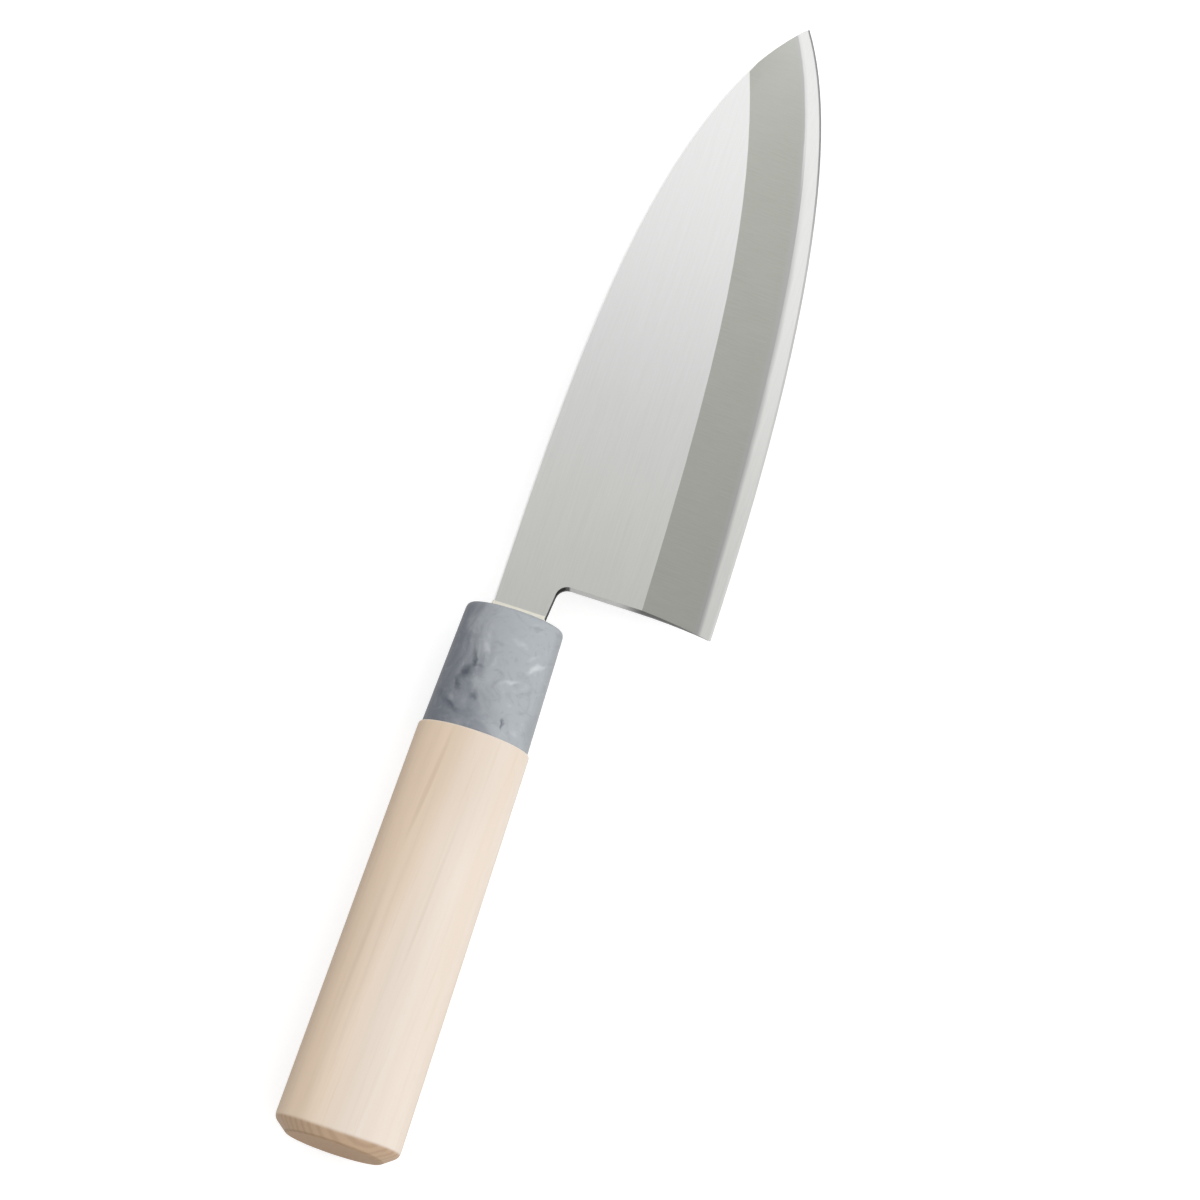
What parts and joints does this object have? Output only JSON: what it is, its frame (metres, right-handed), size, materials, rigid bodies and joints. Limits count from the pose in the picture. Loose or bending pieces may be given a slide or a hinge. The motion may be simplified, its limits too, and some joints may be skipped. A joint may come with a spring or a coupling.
{
  "type": "deba knife",
  "caption": "Heavy single-bevel kitchen knife with a laminated steel blade, a hollow-ground back, an oval wooden handle and a moulded ferrule.",
  "frame": {"origin": "centre of the butt's flat end, on the axis of the handle", "axes": "+X runs from the butt to the tip of the blade, +Y is towards the spine, +Z points out of the bevelled face, and the cutting edge looks to -Y"},
  "size_m": [0.288, 0.059, 0.0208],
  "materials": {
    "body_steel": "satin flat and neck, matt ground bevel",
    "hard_steel": "finely ground along the edge, satin on the hollow back",
    "ferrule_plastic": "grey, marbled with darker and paler streaks, soft gloss",
    "pale_wood": "bare sanded magnolia with a fine straight grain",
    "bedding_resin": "pale cream resin"
  },
  "bodies": {
    "root": {"blade_body": "body_steel", "edge_steel": "hard_steel", "ferrule": "ferrule_plastic", "handle": "pale_wood", "tang_bedding": "bedding_resin"}
  },
  "joints": []
}
